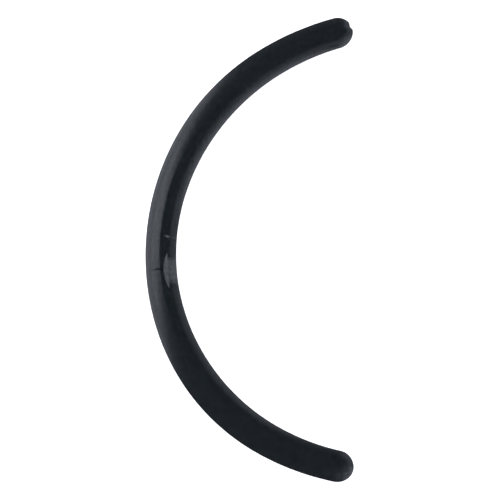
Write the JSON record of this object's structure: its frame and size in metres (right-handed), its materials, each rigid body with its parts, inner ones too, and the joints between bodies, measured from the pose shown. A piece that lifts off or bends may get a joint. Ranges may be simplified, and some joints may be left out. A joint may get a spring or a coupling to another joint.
{
  "type": "eyelash curler refill pad",
  "caption": "One-piece C-shaped strip of moulded black rubber with a ridged top, a flat seat face and rounded ends, which cushions the lashes in an eyelash curler.",
  "frame": {"origin": "centre of the bounding box in X and Y, on the plane of the flat seat face", "axes": "+Y from tip to tip, +X out of the open side of the C, +Z from the seat face towards the ridge"},
  "size_m": [0.0136, 0.03, 0.001],
  "materials": {
    "rubber": "satin"
  },
  "bodies": {
    "root": {"pad_strip": "rubber"}
  },
  "joints": []
}
